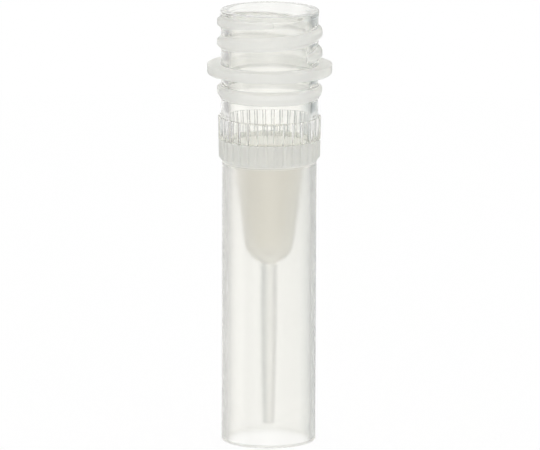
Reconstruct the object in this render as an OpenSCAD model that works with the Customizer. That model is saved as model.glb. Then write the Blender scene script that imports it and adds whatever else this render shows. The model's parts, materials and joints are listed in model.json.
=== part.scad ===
// Self-standing screw-cap tube for cold storage, without its cap.
// It is moulded in one piece from natural polypropylene: a threaded neck, a flange, a bead, a ribbed
// grip band, a small conical vessel that hangs inside an open skirt, and a rod under the vessel's tip.
// The axis is Z, and the foot of the skirt stands on z = 0. Heights in the neck are drops from the rim.

/* [Tube] */
// Height from the foot to the rim
tube_h = 45; // [43:0.5:60]
// Diameter of the bore that takes the cap's plug
bore_d = 8.46; // [8:0.02:9]
// Depth of the bore, from the rim to the funnel
bore_depth = 13.5; // [12.7:0.1:14.5]
// Wall between the bore and the outside of the neck
neck_wall = 0.77; // [0.6:0.01:1]
// How far the skirt lies inside the outside of the neck
skirt_inset = 0.15; // [0.05:0.01:0.3]

/* [Rim] */
// How far the lip stands out from the neck
lip_reach = 0.06; // [0.02:0.01:0.15]
// Height of the lip
lip_h = 0.55; // [0.4:0.05:0.7]
// Rounding of the lip's outer edge
rim_round = 0.1; // [0.05:0.01:0.25]
// Width of the lead-in at the mouth of the bore
lead_in = 0.1; // [0.02:0.01:0.2]
// Height of the lead-in
lead_in_h = 0.3; // [0.1:0.05:0.5]

/* [Thread] */
// Rise of the thread in one turn
thread_pitch = 2.1; // [1.9:0.05:2.4]
// Length of the thread in turns
thread_turns = 1.75; // [1.5:0.05:2]
// Height of the thread above the neck
thread_h = 0.4; // [0.3:0.01:0.6]
// Width of the thread where it meets the neck
thread_root = 1.35; // [1:0.05:1.45]
// Width of the thread's crest
thread_crest = 0.55; // [0.3:0.05:0.7]
// Drop from the rim to the middle of the thread's lower end
thread_drop = 4.65; // [4.4:0.05:4.8]
// Direction of the thread's lower end, from +X
thread_start = -42; // [-180:1:180]
// Length of the taper at each end of the thread, in degrees
thread_fade = 30; // [15:1:60]

/* [Flange] */
// Drop from the rim to the flange's upper face
flange_drop = 5.6; // [5.5:0.05:6.2]
// Thickness of the flange
flange_t = 1.08; // [0.8:0.02:1.4]
// How far the flange stands out from the neck
flange_reach = 1.42; // [0.9:0.02:2.5]
// Rounding of the flange's upper edge
flange_edge = 0.08; // [0.02:0.01:0.2]
// Rounding of the flange's lower edge
flange_round = 0.34; // [0.1:0.02:0.5]

/* [Bead] */
// Drop from the rim to the bead's upper face
bead_drop = 7.8; // [7.6:0.05:8.4]
// How far the bead stands out from the neck
bead_reach = 0.4; // [0.3:0.02:0.8]
// Height of the bead's upright edge and the chamfer above it
bead_edge = 0.72; // [0.5:0.02:1]
// Chamfer on the bead's upper edge
bead_chamfer = 0.24; // [0.1:0.02:0.4]
// Height of the cone under the bead
bead_cone = 0.73; // [0.4:0.01:1]

/* [Grip band] */
// Drop from the rim to the top of the band
band_drop = 11.05; // [10.5:0.05:11.4]
// Height of the band
band_h = 4.62; // [4:0.02:5]
// How far the band's floor stands out from the neck at its top
band_reach = 0.09; // [0.03:0.01:0.2]
// Draft of the band, in degrees
band_draft = 1.35; // [0:0.05:1.5]
// Number of ribs
rib_count = 32; // [16:1:40]
// Radius of the half-round ribs
rib_r = 0.22; // [0.15:0.01:0.3]
// Direction of the first rib, from +X
rib_start = 7; // [0:0.5:22]
// Height of the sloped lower ends of the ribs
rib_slope = 0.48; // [0.3:0.02:0.8]

/* [Vessel] */
// Drop of the funnel between the bore and the vessel
funnel_h = 1.05; // [0.8:0.05:1.2]
// Half angle of the vessel's cone
vessel_taper = 7.35; // [5:0.05:9]
// Radius inside the vessel's rounded end
vessel_r = 1.6; // [1.2:0.05:1.8]
// Wall of the vessel
vessel_wall = 0.9; // [0.7:0.05:1]
// Extra thickness at the vessel's tip
tip_extra = 0.3; // [0:0.05:0.5]
// Depth of the vessel's rounded end, from the rim
vessel_depth = 25.25; // [22:0.05:27]

/* [Skirt] */
// Height of the solid ring between the bottom of the bore and the top of the skirt's hollow
ring_h = 1.65; // [1.3:0.05:2.5]
// Wall of the skirt at the top of its hollow
skirt_wall = 0.7; // [0.6:0.05:0.8]
// Wall of the skirt at its foot
foot_wall = 0.6; // [0.4:0.05:0.8]
// Rounding of the foot's outer edge
foot_round = 0.22; // [0.1:0.01:0.3]

/* [Rod] */
// Diameter of the rod under the vessel
rod_d = 1.6; // [1.2:0.05:2]
// Length of the rod's straight part, from the vessel's tip
rod_straight = 6.5; // [3:0.5:10]
// Diameter of the rod's lower end
rod_end_d = 1.12; // [0.6:0.02:1.6]
// Gap between the rod's lower end and the ground
rod_gap = 1.75; // [1:0.05:3]

/* [Hidden] */
$fn = 120;
natural = [0.9, 0.9, 0.87, 0.75];
arc_steps = 6;       // straight pieces in a profile's quarter round
edge_steps = 2;      // straight pieces in a small one
turn_steps = 40;     // sections of the thread in one turn
embed = 0.25;        // how deep the thread's section reaches into the neck's wall
root_flare = 0.2;    // how much wider than the root each side of the section is at that depth
crest_edge = 0.08;   // chamfer on the crest's two edges
sink = 0.05;         // how far under the neck's surface the crest lies at the thread's ends
end_width = 0.5;     // the section's width at the thread's ends, as a share of its full width

bore_r = bore_d / 2;
neck_r = bore_r + neck_wall;
lip_r = neck_r + lip_reach;
skirt_r = neck_r - skirt_inset;
flange_r = neck_r + flange_reach;
bead_r = neck_r + bead_reach;

flange_top = tube_h - flange_drop;
bead_top = tube_h - bead_drop;
band_top = tube_h - band_drop;
band_foot = band_top - band_h;
bore_foot = tube_h - bore_depth;
hollow_top = bore_foot - ring_h;

// The floor of the grip band: its radius at a height z
function floor_r(z) = neck_r + band_reach - (band_top - z) * tan(band_draft);

// The vessel: the round ends' centres, and each cone's radius at a height z
in_z = tube_h - vessel_depth + vessel_r;
out_r = vessel_r + vessel_wall;
out_z = in_z - tip_extra;
function in_r(z) = vessel_r / cos(vessel_taper) + (z - in_z) * tan(vessel_taper);
function vessel_out_r(z) = out_r / cos(vessel_taper) + (z - out_z) * tan(vessel_taper);

// The skirt's hollow: a rounded top that spans the gap between the vessel and the skirt
gap_in = vessel_out_r(hollow_top);
gap_out = skirt_r - skirt_wall;
gap_round = (gap_out - gap_in) / 2;
foot_in = skirt_r - foot_wall;

rod_r = rod_d / 2;
rod_end_r = rod_end_d / 2;
rod_top = out_z - sqrt(out_r * out_r - rod_r * rod_r);
rod_knee = rod_top - rod_straight;

// Points of an arc about c, from angle a0 to angle a1
function arc(c, r, a0, a1, steps = arc_steps) =
    [for (i = [0:steps]) let (a = a0 + (a1 - a0) * i / steps) c + r * [cos(a), sin(a)]];

// The profile of everything that is round about the axis, as [radius, height]
inside = concat(
    arc([0, in_z], vessel_r, -90, -vessel_taper, 2 * arc_steps),
    [[in_r(bore_foot - funnel_h), bore_foot - funnel_h],
     [bore_r, bore_foot],
     [bore_r, tube_h - lead_in_h],
     [bore_r + lead_in, tube_h]]);
neck = concat(
    arc([lip_r - rim_round, tube_h - rim_round], rim_round, 90, 0),
    [[lip_r, tube_h - lip_h],
     [neck_r, tube_h - lip_h - lip_reach],
     [neck_r, flange_top]],
    arc([flange_r - flange_edge, flange_top - flange_edge], flange_edge, 90, 0, edge_steps),
    arc([flange_r - flange_round, flange_top - flange_t + flange_round], flange_round, 0, -90),
    [[neck_r, flange_top - flange_t],
     [neck_r, bead_top],
     [bead_r - bead_chamfer, bead_top],
     [bead_r, bead_top - bead_chamfer],
     [bead_r, bead_top - bead_edge],
     [neck_r, bead_top - bead_edge - bead_cone]]);
skirt = concat(
    [[neck_r, band_top],
     [floor_r(band_top), band_top],
     [floor_r(band_foot + rib_slope / 2), band_foot + rib_slope / 2],
     [skirt_r, band_foot]],
    arc([skirt_r - foot_round, foot_round], foot_round, 0, -90),
    [[foot_in, 0]],
    arc([gap_out - gap_round, hollow_top - gap_round], gap_round, 0, 180 - vessel_taper));
underside = concat(
    arc([0, out_z], out_r, -vessel_taper, -acos(rod_r / out_r), 2 * arc_steps),
    [[rod_r, rod_knee],
     [rod_end_r, rod_gap],
     [0, rod_gap]]);

module turned_form() {
    rotate_extrude() polygon(concat(inside, neck, skirt, underside));
}

// The thread's section at a turn angle. It fades in height and width at both ends, and its flanks pass
// straight through the neck's surface.
thread_sweep = 360 * thread_turns;
function section(a) =
    let (fade = sin(90 * min(1, a / thread_fade, (thread_sweep - a) / thread_fade)),
         top = (thread_h + sink) * fade - sink,
         share = end_width + (1 - end_width) * fade,
         deep = (thread_root / 2 + root_flare) * share,
         crest = thread_crest / 2 * share,
         edge = crest_edge * share)
    [[-embed, -deep],
     [top - edge, -crest - edge],
     [top, -crest + edge],
     [top, crest - edge],
     [top - edge, crest + edge],
     [-embed, deep]];

module thread() {
    rings = ceil(turn_steps * thread_turns);
    corners = len(section(0));
    foot = tube_h - thread_drop;
    points = [for (i = [0:rings])
        let (turned = thread_sweep * i / rings, a = thread_start + turned)
        for (p = section(turned))
            [(neck_r + p[0]) * cos(a), (neck_r + p[0]) * sin(a), foot + thread_pitch * turned / 360 + p[1]]];
    sides = [for (i = [0:rings - 1], k = [0:corners - 1]) let (n = (k + 1) % corners)
        [i * corners + k, i * corners + n, (i + 1) * corners + n, (i + 1) * corners + k]];
    first = [for (k = [corners - 1:-1:0]) k];
    last = [for (k = [0:corners - 1]) rings * corners + k];
    polyhedron(points, concat(sides, [first, last]));
}

// One half-round rib, leaning out with the band's draft, and longer than the band at both ends
module rib() {
    translate([floor_r(band_foot), 0, band_foot])
        rotate([0, band_draft, 0])
            translate([0, 0, -rib_r]) cylinder(r = rib_r, h = band_h + 2 * rib_r);
}

// The space that the ribs may fill: flat on top, and sloped at the foot
module band_limits() {
    crest = floor_r(band_top) + 2 * rib_r;
    slope_r = floor_r(band_foot) + rib_r;
    rotate_extrude() polygon([
        [bore_r + neck_wall / 2, band_foot],
        [skirt_r, band_foot],
        [slope_r, band_foot + rib_slope],
        [crest, band_foot + rib_slope + (crest - slope_r) * rib_slope / (slope_r - skirt_r)],
        [crest, band_top],
        [bore_r + neck_wall / 2, band_top]]);
}

module ribs() {
    intersection() {
        for (i = [0:rib_count - 1])
            rotate([0, 0, rib_start + i * 360 / rib_count]) rib();
        band_limits();
    }
}

module tube() {
    color(natural) union() {
        turned_form();
        ribs();
        thread();
    }
}

tube();
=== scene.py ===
"""A screw-cap tube of natural polypropylene that stands on its skirt: its shape, its material, its floor
and light, and its camera. Lengths are in millimetres until a mesh or a node needs metres. They follow the
CAD part, with more small roundings and a thread that runs out more slowly, and the main ones come from the
frame."""

import json
import math

import bpy
import numpy as np
from mathutils import Matrix, Vector

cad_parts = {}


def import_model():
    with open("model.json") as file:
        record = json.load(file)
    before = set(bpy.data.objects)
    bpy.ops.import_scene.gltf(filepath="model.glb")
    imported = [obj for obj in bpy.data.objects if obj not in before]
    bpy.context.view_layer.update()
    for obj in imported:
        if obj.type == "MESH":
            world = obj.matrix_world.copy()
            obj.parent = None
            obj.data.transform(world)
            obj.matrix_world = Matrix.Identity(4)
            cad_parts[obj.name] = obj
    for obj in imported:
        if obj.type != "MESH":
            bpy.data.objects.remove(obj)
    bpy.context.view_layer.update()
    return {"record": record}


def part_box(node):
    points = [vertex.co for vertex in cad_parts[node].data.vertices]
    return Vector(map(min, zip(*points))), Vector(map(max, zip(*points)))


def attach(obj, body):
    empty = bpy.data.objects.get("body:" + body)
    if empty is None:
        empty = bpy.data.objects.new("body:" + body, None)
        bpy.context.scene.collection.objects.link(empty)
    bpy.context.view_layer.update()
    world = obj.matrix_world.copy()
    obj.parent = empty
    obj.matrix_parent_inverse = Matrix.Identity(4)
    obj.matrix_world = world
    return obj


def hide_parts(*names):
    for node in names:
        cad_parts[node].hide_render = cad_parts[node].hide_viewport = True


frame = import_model()

MM = 0.001
MOUNTS = {m["name"]: m for m in frame["record"]["mounts"]}
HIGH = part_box("tube")[1]

# Main sizes, from the frame
TUBE_H = HIGH.z / MM
FLANGE_R = HIGH.x / MM
BORE_R = MOUNTS["mouth"]["dims"]["r_mm"]
SKIRT_R = MOUNTS["skirt"]["dims"]["r_mm"]
SEAT_Z = MOUNTS["flange_seat"]["pos_m"][2] / MM

# Neck and rim. A drop or a depth is measured from the rim.
NECK_WALL = 0.77
LIP_REACH = 0.06
LIP_H = 0.55
LIP_BEND = 0.2
LIP_FOOT_ROUND = 0.03
RIM_ROUND = 0.1
MOUTH_ROUND = 0.05
LEAD_IN = 0.1
LEAD_IN_H = 0.3
LEAD_IN_ROUND = 0.1
# Thread: its section, its lower end, and the degrees over which it fades in and runs out. At its ends it
# has only a share of its full width.
THREAD_PITCH = 2.1
THREAD_TURNS = 1.95
THREAD_H = 0.4
THREAD_ROOT = 1.3
THREAD_CREST = 0.6
THREAD_CORNER = 0.06
THREAD_END_WIDTH = 0.5
THREAD_DROP = 4.65
THREAD_START = -42
THREAD_FADE = 36
THREAD_RUN_OUT = 130
# Flange and bead
FLANGE_T = 1.08
FLANGE_EDGE = 0.08
FLANGE_ROUND = 0.34
BEAD_DROP = 7.8
BEAD_REACH = 0.4
BEAD_EDGE = 0.72
BEAD_CHAMFER = 0.24
BEAD_ROUND = 0.08
BEAD_CONE = 0.73
BEAD_CONE_ROUND = 0.15
FILLET = 0.06
# Grip band, and its top edge as steps down from its top and in from its face
BAND_DROP = 11.05
BAND_H = 4.62
BAND_REACH = 0.09
BAND_DRAFT = 1.35
BAND_EDGE = [(0, 0.06), (0.01, 0.03), (0.03, 0.01), (0.06, 0)]
BAND_FILLET = 0.02
RIB_COUNT = 32
RIB_R = 0.22
RIB_START = 7
RIB_SLOPE = 0.48
# Bore, funnel and vessel
BORE_DEPTH = 13.5
BORE_ROUND = 0.5
FUNNEL_H = 1.05
FUNNEL_ROUND = 0.15
VESSEL_TAPER = math.radians(7.35)
VESSEL_R = 1.6
VESSEL_WALL = 0.9
VESSEL_DEPTH = 25.25
TIP_EXTRA = 0.3
# Skirt, its foot, and the gap around the vessel, whose two roundings leave a little of its top flat
RING_H = 1.65
SKIRT_WALL = 0.7
FOOT_WALL = 0.6
FOOT_ROUND = 0.22
FOOT_EDGE = 0.04
GAP_ROUND_SHARE = 0.93
# Rod
ROD_R = 0.8
ROD_STRAIGHT = 6.5
ROD_END_R = 0.56
ROD_END_ROUND = 0.1
ROD_GAP = 1.75

NECK_R = BORE_R + NECK_WALL
LIP_R = NECK_R + LIP_REACH
BEAD_R = NECK_R + BEAD_REACH
LIP_FOOT = TUBE_H - LIP_H
FLANGE_TOP = SEAT_Z + FLANGE_T
BEAD_TOP = TUBE_H - BEAD_DROP
BAND_TOP = TUBE_H - BAND_DROP
BAND_FOOT = BAND_TOP - BAND_H
BORE_FOOT = TUBE_H - BORE_DEPTH
FUNNEL_FOOT = BORE_FOOT - FUNNEL_H
HOLLOW_TOP = BORE_FOOT - RING_H
IN_Z = TUBE_H - VESSEL_DEPTH + VESSEL_R
OUT_R = VESSEL_R + VESSEL_WALL
OUT_Z = IN_Z - TIP_EXTRA
TIP_Z = OUT_Z - OUT_R

# Mesh: directions around the axis, in degrees. Each rib has seven of its own, and five lie between ribs.
RIB_ANGLE = math.degrees(math.asin(RIB_R / (NECK_R + BAND_REACH)))
RIB_PITCH = 360 / RIB_COUNT
RIB_POINTS = [RIB_ANGLE * math.sin(math.radians(a)) for a in range(-90, 91, 30)]
GAP_POINTS = [RIB_ANGLE + (RIB_PITCH - 2 * RIB_ANGLE) * i / 6 for i in range(1, 6)]
ANGLES = np.array([
    RIB_START + RIB_PITCH * k + a for k in range(RIB_COUNT) for a in RIB_POINTS + GAP_POINTS])
# Mesh: the rows of points down the profile, the small rings at its two ends, and a sharp edge's angle
ARC_STEP = 18
THREAD_STEP = 0.065
FACE_ROWS = 5
SLOPE_ROWS = 12
BOWL_ROWS = 14
TIP_ROWS = 16
POLE_ANGLE = 0.12
POLE_R = 0.1
SHARP = math.radians(50)

# Material: how far the milky look reaches beside the thread, the heights between which the skirt grows
# hazy, the size of the clouds and of the moulding ripple, and the colours of the tube's zones
MILK_MARGIN = 0.15
SKIRT_HAZE = (17, 28)
CLOUDS_PER_M = 700.0
RIPPLES_PER_M = 900.0
RIPPLE_STRETCH = 0.12
RIPPLE_DEPTH = 0.004
PLAIN = (0.998, 0.995, 0.971, 1)
NECK_TINT = (0.972, 0.97, 0.947, 1)
RIM_TINT = (0.75, 0.75, 0.73, 1)
RAISED_TINT = (0.91, 0.91, 0.885, 1)
SHOULDER_TINT = (0.8, 0.805, 0.775, 1)
ROD_TINT = (0.9, 0.895, 0.88, 1)
MILK_TINT = (0.97, 0.97, 0.945, 1)
CREAM = (0.87, 0.85, 0.8, 1)
WHITE = (1, 1, 1, 1)
DIM_BLUE = (0.93, 0.99, 1, 1)


def rounded(corners):
    """The points of a profile of (radius, height, rounding) corners. Each rounding is an arc with a point
    about every ARC_STEP degrees."""
    points = []
    for i, (r, z, rounding) in enumerate(corners):
        here = Vector((r, z))
        if not rounding or i in (0, len(corners) - 1):
            points.append(here)
            continue
        back = (Vector(corners[i - 1][:2]) - here).normalized()
        on = (Vector(corners[i + 1][:2]) - here).normalized()
        half = back.angle(on) / 2
        centre = here + (back + on).normalized() * (rounding / math.sin(half))
        start = here + back * (rounding / math.tan(half)) - centre
        end = here + on * (rounding / math.tan(half)) - centre
        turn = start.angle(end)
        steps = max(2, round(math.degrees(turn) / ARC_STEP))
        for k in range(steps + 1):
            s = k / steps
            arc = start * math.sin((1 - s) * turn) + end * math.sin(s * turn)
            points.append(centre + arc / math.sin(turn))
    return points


def rows(radius, z):
    """Rows of points around the axis, from a radius for each row and angle, and a height for each row."""
    a = np.radians(ANGLES)
    height = np.repeat(np.asarray(z)[:, None], len(a), axis=1)
    return np.stack([radius * np.cos(a), radius * np.sin(a), height], axis=2)


def turned(points):
    """Rows of a form that is round about the axis, from the points of its profile."""
    p = np.array([tuple(q) for q in points])
    return rows(np.repeat(p[:, :1], len(ANGLES), axis=1), p[:, 1])


def soft_min(a, b, width):
    """The smaller of a and b, with a rounded corner of that width where they meet."""
    h = np.clip(0.5 + (b - a) / (2 * width), 0, 1)
    return b + (a - b) * h - width * h * (1 - h)


def thread_turns(z, angle):
    """For each turn of the thread: how full it is in a direction, and how far a height is from its middle,
    measured on a turn of full width."""
    sweep = 360 * THREAD_TURNS
    for turn in range(math.ceil(THREAD_TURNS)):
        swept = (angle - THREAD_START) % 360 + 360 * turn
        start = np.sin(np.radians(90) * np.clip(swept / THREAD_FADE, 0, 1))
        run_out = np.clip((sweep - swept) / THREAD_RUN_OUT, 0, 1)
        full = start * run_out * run_out * (3 - 2 * run_out)
        middle = TUBE_H - THREAD_DROP + THREAD_PITCH * swept / 360
        width = THREAD_END_WIDTH + (1 - THREAD_END_WIDTH) * full
        yield full, np.abs(z - middle) / width


def thread_height(z, angle):
    """How far the thread stands above the neck at a height and a direction."""
    height = np.zeros(np.broadcast(z, angle).shape)
    slope = THREAD_H / (THREAD_ROOT - THREAD_CREST) * 2
    for full, off in thread_turns(z, angle):
        body = soft_min((THREAD_ROOT / 2 - off) * slope, THREAD_H, THREAD_CORNER) * full
        height = np.maximum(height, -soft_min(-body, 0 * body, THREAD_CORNER))
    return height


def thread_milk(z, angle):
    """How milky the thread makes the neck: 1 on the thread, and less in a narrow margin beside it and where
    the thread is less than a third full."""
    milk = np.zeros(np.broadcast(z, angle).shape)
    for full, off in thread_turns(z, angle):
        beside = np.clip((THREAD_ROOT / 2 + MILK_MARGIN - off) / MILK_MARGIN, 0, 1)
        milk = np.maximum(milk, beside * np.clip(full * 3, 0, 1))
    return milk


def cone_radius(end_r, end_z, z):
    """The radius at height z of a cone that runs up from a rounded end, which has radius end_r about the
    height end_z."""
    return end_r / math.cos(VESSEL_TAPER) + (z - end_z) * math.tan(VESSEL_TAPER)


def inside():
    """The vessel's rounded end, its cone, the funnel and the bore, from the bottom up."""
    bowl = [(VESSEL_R * math.sin(a), IN_Z - VESSEL_R * math.cos(a))
            for a in np.linspace(POLE_ANGLE, math.pi / 2 - VESSEL_TAPER, BOWL_ROWS)]
    return turned(bowl + rounded([
        (*bowl[-1], 0), (cone_radius(VESSEL_R, IN_Z, FUNNEL_FOOT), FUNNEL_FOOT, FUNNEL_ROUND),
        (BORE_R, BORE_FOOT, BORE_ROUND), (BORE_R, TUBE_H - LEAD_IN_H, LEAD_IN_ROUND),
        (BORE_R + LEAD_IN, TUBE_H, MOUTH_ROUND), (LIP_R, TUBE_H, 0)])[1:-1])


def rim():
    """The lip, from the middle of the rim down to the neck."""
    middle = (BORE_R + LEAD_IN + LIP_R) / 2
    return turned(rounded([
        (middle, TUBE_H, 0), (LIP_R, TUBE_H, RIM_ROUND), (LIP_R, LIP_FOOT + LIP_BEND, 0),
        (LIP_R, LIP_FOOT, LIP_FOOT_ROUND), (NECK_R, LIP_FOOT - LIP_REACH, 0)]))


def neck():
    """The neck between the lip and the flange, with its thread, from the top down."""
    top = LIP_FOOT - LIP_REACH
    z = np.linspace(top, FLANGE_TOP, round((top - FLANGE_TOP) / THREAD_STEP))[1:-1]
    return rows(NECK_R + thread_height(z[:, None], ANGLES[None, :]), z)


def flange_and_bead():
    """The flange, the bead and the neck below each of them, down to the start of the band's flat top."""
    cone_foot = BEAD_TOP - BEAD_EDGE - BEAD_CONE
    return turned(rounded([
        (NECK_R, FLANGE_TOP + 0.1, 0), (NECK_R, FLANGE_TOP, FILLET), (FLANGE_R, FLANGE_TOP, FLANGE_EDGE),
        (FLANGE_R, SEAT_Z, FLANGE_ROUND), (NECK_R, SEAT_Z, FILLET), (NECK_R, BEAD_TOP, FILLET),
        (BEAD_R - BEAD_CHAMFER, BEAD_TOP, BEAD_ROUND), (BEAD_R, BEAD_TOP - BEAD_CHAMFER, BEAD_ROUND),
        (BEAD_R, BEAD_TOP - BEAD_EDGE, BEAD_ROUND), (NECK_R, cone_foot, BEAD_CONE_ROUND),
        (NECK_R, BAND_TOP, BAND_FILLET), (NECK_R + BAND_REACH / 4, BAND_TOP, 0)])[1:])


def rib_height(angle):
    """How far the half-round ribs stand above the band's floor in a direction."""
    off = (angle - RIB_START + RIB_PITCH / 2) % RIB_PITCH - RIB_PITCH / 2
    share = np.clip(off / RIB_ANGLE, -1, 1)
    return RIB_R * np.sqrt(1 - share ** 2)


def band():
    """The grip band with its ribs, from the top down: flat on top, and sloped at the foot of the ribs."""
    drop, inset = np.array(BAND_EDGE).T
    slope_top = BAND_FOOT + RIB_SLOPE
    face = (BAND_TOP - 0.3, slope_top + 0.1)
    z = np.concatenate([
        BAND_TOP - drop, np.linspace(*face, FACE_ROWS), np.linspace(slope_top, BAND_FOOT, SLOPE_ROWS)])
    edge = np.zeros(len(z))
    edge[:len(inset)] = inset
    floor = NECK_R + BAND_REACH - (BAND_TOP - z) * math.tan(math.radians(BAND_DRAFT))
    foot = (z - BAND_FOOT) / RIB_SLOPE
    rib_top = floor[-1] + RIB_R
    floor = np.where(foot < 0.5, SKIRT_R + (floor - SKIRT_R) * foot * 2, floor)
    limit = np.where(foot < 1, SKIRT_R + (rib_top - SKIRT_R) * foot, np.inf)
    radius = floor[:, None] + rib_height(ANGLES)[None, :] - edge[:, None]
    return rows(np.minimum(radius, limit[:, None]), z)


def skirt():
    """The skirt, its foot and its hollow, up to the top of the gap around the vessel."""
    gap_out = SKIRT_R - SKIRT_WALL
    gap_in = cone_radius(OUT_R, OUT_Z, HOLLOW_TOP)
    rounding = (gap_out - gap_in) / 2 * GAP_ROUND_SHARE
    vessel_end = (OUT_R * math.cos(VESSEL_TAPER), OUT_Z - OUT_R * math.sin(VESSEL_TAPER))
    return turned(rounded([
        (SKIRT_R, BAND_FOOT, 0), (SKIRT_R, BAND_FOOT - 0.3, 0), (SKIRT_R, 0, FOOT_ROUND),
        (SKIRT_R - FOOT_WALL, 0, FOOT_EDGE), (gap_out, HOLLOW_TOP, rounding),
        (gap_in, HOLLOW_TOP, rounding), (*vessel_end, 0)])[1:-1])


def underside():
    """The rounded end of the vessel's outside, and the rod down to its end."""
    beside_rod = math.acos(ROD_R / OUT_R) - 0.03
    tip = [(OUT_R * math.cos(a), OUT_Z - OUT_R * math.sin(a))
           for a in np.linspace(VESSEL_TAPER, beside_rod, TIP_ROWS)]
    rod_top = OUT_Z - math.sqrt(OUT_R ** 2 - ROD_R ** 2)
    return turned(tip + rounded([
        (*tip[-1], 0), (ROD_R, rod_top, FILLET), (ROD_R, rod_top - ROD_STRAIGHT, 0),
        (ROD_END_R, ROD_GAP, ROD_END_ROUND), (POLE_R, ROD_GAP, 0)])[1:])


def closed_faces(count, around):
    """The faces of a closed mesh of count rows of points, which has one more point as a pole at each end."""
    here = np.arange(around)
    beside = (here + 1) % around
    faces = []
    for row in range(count - 1):
        a = row * around
        b = a + around
        faces += np.stack([a + here, b + here, b + beside, a + beside], axis=1).tolist()
    end = (count - 1) * around
    first_pole = count * around
    last_pole = first_pole + 1
    faces += [(first_pole, int(p), int(q)) for p, q in zip(here, beside)]
    faces += [(last_pole, end + int(q), end + int(p)) for p, q in zip(here, beside)]
    return faces


def mark_thread(mesh, points):
    """Stores on the mesh how milky the thread makes each point of the neck's outside."""
    x, y, z = points.T / MM
    on_neck = (z > FLANGE_TOP) & (z < LIP_FOOT + 0.1) & (np.hypot(x, y) > NECK_R - 0.1)
    milk = thread_milk(z, np.degrees(np.arctan2(y, x))) * on_neck
    mesh.attributes.new("thread", "FLOAT", "POINT").data.foreach_set("value", milk)


def build_tube():
    """One closed mesh: the profile's rows, from the vessel's bottom over the rim to the rod's end."""
    grid = np.concatenate([inside(), rim(), neck(), flange_and_bead(), band(), skirt(), underside()])
    poles = [(0, 0, IN_Z - VESSEL_R), (0, 0, ROD_GAP)]
    points = np.concatenate([grid.reshape(-1, 3), poles]) * MM
    mesh = bpy.data.meshes.new("cryovial")
    mesh.from_pydata(points.tolist(), [], closed_faces(*grid.shape[:2]))
    mark_thread(mesh, points)
    mesh.shade_smooth()
    mesh.set_sharp_from_angle(angle=SHARP)
    tube = bpy.data.objects.new("cryovial", mesh)
    bpy.context.collection.objects.link(tube)
    normals = tube.modifiers.new("area_normals", "WEIGHTED_NORMAL")
    normals.mode = "FACE_AREA"
    normals.keep_sharp = True
    return tube


class Graph:
    """Adds nodes to one node tree. An input's value is a number, a colour, or another node's output."""

    def __init__(self, owner):
        owner.use_nodes = True
        self.nodes = owner.node_tree.nodes
        self.links = owner.node_tree.links

    def put(self, socket, value):
        """Links the value to the socket if it is an output, and else sets it."""
        if isinstance(value, bpy.types.NodeSocket):
            self.links.new(value, socket)
        else:
            socket.default_value = value

    def add(self, kind, inputs=None, **settings):
        """A new shader node of that kind, with its settings and inputs."""
        node = self.nodes.new("ShaderNode" + kind)
        for name, value in settings.items():
            setattr(node, name, value)
        for name, value in (inputs or {}).items():
            self.put(node.inputs[name], value)
        return node

    def math(self, operation, first, second=0.0):
        """One step of arithmetic."""
        return self.add("Math", {0: first, 1: second}, operation=operation).outputs[0]

    def times(self, *values):
        """The product of the values."""
        result = values[0]
        for value in values[1:]:
            result = self.math("MULTIPLY", result, value)
        return result

    def most(self, *values):
        """The largest of the values."""
        result = values[0]
        for value in values[1:]:
            result = self.math("MAXIMUM", result, value)
        return result

    def rest(self, value):
        """One minus the value."""
        return self.math("SUBTRACT", 1.0, value)

    def ease(self, value, start, end, low=0.0, high=1.0):
        """From low to high, with soft ends, as the value goes from start to end."""
        inputs = {"Value": value, "From Min": start, "From Max": end, "To Min": low, "To Max": high}
        return self.add("MapRange", inputs, interpolation_type="SMOOTHSTEP").outputs["Result"]

    def blend(self, plain, *shares):
        """A number that is plain, and changes to each share's value as far as its mask says."""
        result = plain
        for mask, value in shares:
            inputs = {"Value": mask, "To Min": result, "To Max": value}
            result = self.add("MapRange", inputs).outputs["Result"]
        return result

    def tint(self, plain, *shares):
        """A colour that is plain, and changes to each share's colour as far as its mask says. The Mix node's
        sockets 6 and 7 are its two colours."""
        result = plain
        for mask, colour in shares:
            inputs = {"Factor": mask, 6: result, 7: colour}
            result = self.add("Mix", inputs, data_type="RGBA").outputs[2]
        return result


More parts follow.
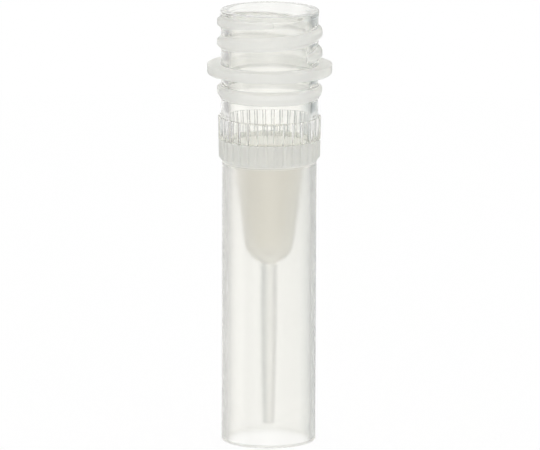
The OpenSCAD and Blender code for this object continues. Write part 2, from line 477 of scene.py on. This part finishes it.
def zones(graph):
    """Masks for the parts of the tube that look different, from the place on it."""
    place = graph.add("TexCoord").outputs["Object"]
    x, y, z = graph.add("SeparateXYZ", {0: place}).outputs
    radius = graph.math("SQRT", graph.math("ADD", graph.times(x, x), graph.times(y, y)))

    def out(start, end):
        """From 0 to 1 outwards, between two radii."""
        return graph.ease(radius, start * MM, end * MM)

    def above(start, end):
        """From 0 to 1 upwards, between two heights."""
        return graph.ease(z, start * MM, end * MM)

    def below(start, end):
        """From 0 to 1 downwards, between two heights."""
        return graph.ease(z, end * MM, start * MM, 1.0, 0.0)

    thread = graph.add("Attribute", attribute_name="thread").outputs["Fac"]
    rings = graph.times(above(BAND_TOP + 0.2, BAND_TOP + 0.6), below(FLANGE_TOP + 0.3, FLANGE_TOP + 0.1),
                        out(NECK_R + 0.01, NECK_R + 0.15))
    in_skirt = out(SKIRT_R - SKIRT_WALL - 0.35, SKIRT_R - SKIRT_WALL - 0.1)
    inner = graph.rest(in_skirt)
    below_tip = below(TIP_Z + 0.1, TIP_Z - 0.1)
    below_bore = below(BORE_FOOT + 0.25, BORE_FOOT - 0.1)
    below_funnel = below(FUNNEL_FOOT, FUNNEL_FOOT - 0.2)
    vessel = graph.times(below_funnel, inner, graph.rest(below_tip))
    funnel = graph.times(below_bore, inner, graph.rest(below_funnel))
    under_skin = graph.rest(out(SKIRT_R - 0.45, SKIRT_R - 0.3))
    ring = graph.times(above(HOLLOW_TOP - 1, HOLLOW_TOP - 0.5), under_skin, below_funnel)
    return {
        "place": place,
        "neck": above(BAND_TOP + 1, BAND_TOP + 3),
        "top": above(FLANGE_TOP + 0.1, FLANGE_TOP + 0.4),
        "rim": above(LIP_FOOT, LIP_FOOT + 0.1),
        "rim_top": above(TUBE_H - 0.05, TUBE_H - 0.02),
        "raised": graph.most(thread, rings),
        "shoulder": graph.times(out(SKIRT_R - 0.1, SKIRT_R), below(BORE_FOOT + 0.3, BORE_FOOT)),
        "skirt": graph.times(below(BAND_FOOT + 0.1, BAND_FOOT - 0.2), in_skirt),
        "skirt_top": above(*SKIRT_HAZE),
        "skin": out(SKIRT_R - 0.3, SKIRT_R - 0.1),
        "foot": below(0.3, 0.15),
        "rod": graph.times(below_tip, inner),
        "milky": graph.most(vessel, ring, funnel),
        "vessel": vessel,
    }


def roughness(graph, zone):
    """Polished in the neck, satin on the skirt, and dull where the plastic is raised or thick."""
    on_skirt = graph.blend(0.2, (zone["skirt_top"], 0.22), (zone["foot"], 0.5))
    return graph.blend(
        0.04, (zone["top"], 0.14), (zone["rim"], 0.04), (zone["rim_top"], 0.2), (zone["raised"], 0.6),
        (zone["shoulder"], 0.42), (zone["skirt"], on_skirt), (zone["rod"], 0.12), (zone["milky"], 0.55),
        (zone["vessel"], 0.35))


def clearness(graph, zone):
    """The share of the light that goes through instead of being scattered at the surface."""
    on_skirt = graph.blend(0.99, (zone["skin"], 0.82), (zone["foot"], 0.5))
    return graph.blend(
        0.985, (zone["rim"], 0.97), (zone["rim_top"], 0.6), (zone["raised"], 0.7), (zone["shoulder"], 0.4),
        (zone["skirt"], on_skirt), (zone["rod"], 0.9), (zone["milky"], 0.4), (zone["vessel"], 0.92))


def tone(graph, zone):
    """Nearly white, greyer where the plastic is raised or thick, and cream in the vessel."""
    return graph.tint(
        PLAIN, (zone["neck"], NECK_TINT), (zone["rim_top"], RIM_TINT), (zone["raised"], RAISED_TINT),
        (zone["shoulder"], SHOULDER_TINT), (zone["skirt"], PLAIN), (zone["rod"], ROD_TINT),
        (zone["milky"], MILK_TINT), (zone["vessel"], CREAM))


def clouds(graph, zone):
    """Fine clouds that vary the haze a little, mostly where the plastic is raised or milky."""
    pattern = {"Vector": zone["place"], "Scale": CLOUDS_PER_M, "Detail": 4.0}
    noise = graph.add("TexNoise", pattern).outputs["Fac"]
    depth = graph.blend(0.002, (zone["raised"], 0.04), (zone["milky"], 0.04))
    return graph.times(graph.ease(noise, 0.3, 0.7, -1.0, 1.0), depth)


def moulding_ripple(graph, zone):
    """Bump that is fine across the tube and drawn out along its axis, as the tube left its mould."""
    stretched = graph.add("Mapping", {"Vector": zone["place"], "Scale": (1, 1, RIPPLE_STRETCH)}).outputs[0]
    pattern = {"Vector": stretched, "Scale": RIPPLES_PER_M, "Detail": 2.0}
    ripple = graph.add("TexNoise", pattern).outputs["Fac"]
    return graph.add("Bump", {"Strength": 0.15, "Distance": RIPPLE_DEPTH * MM, "Height": ripple}).outputs[0]


def polypropylene():
    """Natural polypropylene: clear where it is thin, satin on the skirt, and milky where it is thick."""
    mat = bpy.data.materials.new("polypropylene")
    graph = Graph(mat)
    zone = zones(graph)
    haze = clouds(graph, zone)
    shader = graph.nodes["Principled BSDF"].inputs
    graph.put(shader["IOR"], 1.49)
    graph.put(shader["Roughness"], graph.math("ADD", roughness(graph, zone), haze))
    graph.put(shader["Transmission Weight"], graph.math("ADD", clearness(graph, zone), haze))
    graph.put(shader["Base Color"], tone(graph, zone))
    graph.put(shader["Normal"], moulding_ripple(graph, zone))
    absorb = graph.add("VolumeAbsorption", {"Color": (0.9, 0.9, 0.87, 1), "Density": 20.0})
    graph.put(graph.nodes["Material Output"].inputs["Volume"], absorb.outputs[0])
    return mat


def camera():
    """A long lens, a little above the tube's middle, as the photograph was taken."""
    lift = math.radians(11.2)
    roll = math.radians(0.2)
    distance = 870 * MM
    aside = 0.09 * MM
    aim = Vector((aside, 0, HIGH.z / 2))
    cam = bpy.data.objects.new("camera", bpy.data.cameras.new("camera"))
    cam.data.sensor_width = 36
    cam.data.lens = 563.6
    cam.location = aim + distance * Vector((0, -math.cos(lift), math.sin(lift)))
    turn = Matrix.Rotation(math.pi / 2 - lift, 3, "X") @ Matrix.Rotation(roll, 3, "Z")
    cam.rotation_euler = turn.to_euler()
    bpy.context.collection.objects.link(cam)
    bpy.context.scene.camera = cam


def ray_kinds(graph):
    """Two masks: one for rays straight from the camera, and one for rays that gloss or clear plastic sends
    on before a dull surface has scattered them."""
    path = graph.add("LightPath").outputs
    sent_on = graph.most(path["Is Glossy Ray"], path["Is Transmission Ray"])
    before_diffuse = graph.math("LESS_THAN", path["Diffuse Depth"], 0.5)
    return path["Is Camera Ray"], graph.times(sent_on, before_diffuse)


def panels(graph):
    """The studio as clear plastic shows it: four bright panels a quarter turn apart, with dimmer walls
    between them, a bright table below and a dimmer ceiling above. Two opposite quarters are slightly blue
    where they are dim. Gives the colour and the strength."""
    direction = graph.add("TexCoord").outputs["Generated"]
    x, y, z = graph.add("SeparateXYZ", {0: direction}).outputs
    turned_by = math.radians(6)
    azimuth = graph.math("ADD", graph.math("ARCTAN2", x, y), turned_by)
    off = graph.math("PINGPONG", azimuth, math.radians(90))

    def beside(start, end, low, high):
        """From low to high, between two angles from the middle of the front or the back panel."""
        return graph.ease(off, math.radians(start), math.radians(end), low, high)

    def lifted(start, end):
        """From 0 to 1, between two angles above the horizontal."""
        return graph.ease(z, math.sin(math.radians(start)), math.sin(math.radians(end)))

    front_and_back = graph.math("ADD", beside(8, 28, 0.45, 0.0), beside(44, 54, 0.55, 0.25))
    left_and_right = beside(62, 74, 0.0, 1.0)
    walls = graph.most(front_and_back, left_and_right)
    table = graph.ease(walls, 0.0, 1.0, 0.7, 1.0)
    level = graph.blend(walls, (lifted(-12.8, -13.8), table), (lifted(30, 48), 0.6))
    blue = graph.times(graph.ease(level, 1.0, 0.6), graph.math("GREATER_THAN", graph.times(x, y), 0.0))
    return graph.tint(WHITE, (blue, DIM_BLUE)), level


def world():
    """A plain white room that lights all at strength 1. Only gloss and clear plastic see its panels."""
    studio = bpy.data.worlds.new("studio")
    bpy.context.scene.world = studio
    graph = Graph(studio)
    graph.nodes.clear()
    _, sent_on = ray_kinds(graph)
    colour, level = panels(graph)
    room = graph.add("Background", {"Color": WHITE, "Strength": 1.0}).outputs[0]
    walls = graph.add("Background", {"Color": colour, "Strength": level}).outputs[0]
    mix = graph.add("MixShader", {0: sent_on, 1: room, 2: walls}).outputs[0]
    graph.add("OutputWorld", {"Surface": mix})


def light_paths():
    """Light goes through many walls here, and round inside the thick ones, so it needs more bounces than
    usual. Glossy blur is off, because it darkens the milky plastic."""
    cycles = bpy.context.scene.cycles
    cycles.max_bounces = 32
    cycles.transmission_bounces = 28
    cycles.glossy_bounces = 16
    cycles.diffuse_bounces = 8
    cycles.blur_glossy = 0.0


def floor():
    """A white disc that keeps a faint shadow. Gloss and clear plastic see the studio's table instead."""
    radius = 200 * MM
    corners = 96
    drop = 0.02 * MM
    own_glow = 0.88
    angles = np.linspace(0, 2 * math.pi, corners, endpoint=False)
    points = [(radius * math.cos(a), radius * math.sin(a), -drop) for a in angles]
    mesh = bpy.data.meshes.new("floor")
    mesh.from_pydata(points, [], [range(corners)])
    ground = bpy.data.objects.new("floor", mesh)
    bpy.context.collection.objects.link(ground)
    mat = bpy.data.materials.new("floor")
    graph = Graph(mat)
    graph.nodes.clear()
    from_camera, sent_on = ray_kinds(graph)
    paint = graph.add("BsdfDiffuse", {"Color": (0.98, 0.98, 0.98, 1)}).outputs[0]
    glow = graph.add("Emission", {"Color": WHITE, "Strength": 1.0}).outputs[0]
    gone = graph.add("BsdfTransparent").outputs[0]
    mix = graph.add("MixShader", {0: graph.times(from_camera, own_glow), 1: paint, 2: glow}).outputs[0]
    mix = graph.add("MixShader", {0: sent_on, 1: mix, 2: gone}).outputs[0]
    graph.add("OutputMaterial", {"Surface": mix})
    mesh.materials.append(mat)


camera()
world()
floor()
tube = build_tube()
tube.data.materials.append(polypropylene())
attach(tube, "root")
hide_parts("tube")
bpy.context.scene.view_settings.view_transform = "Standard"
light_paths()
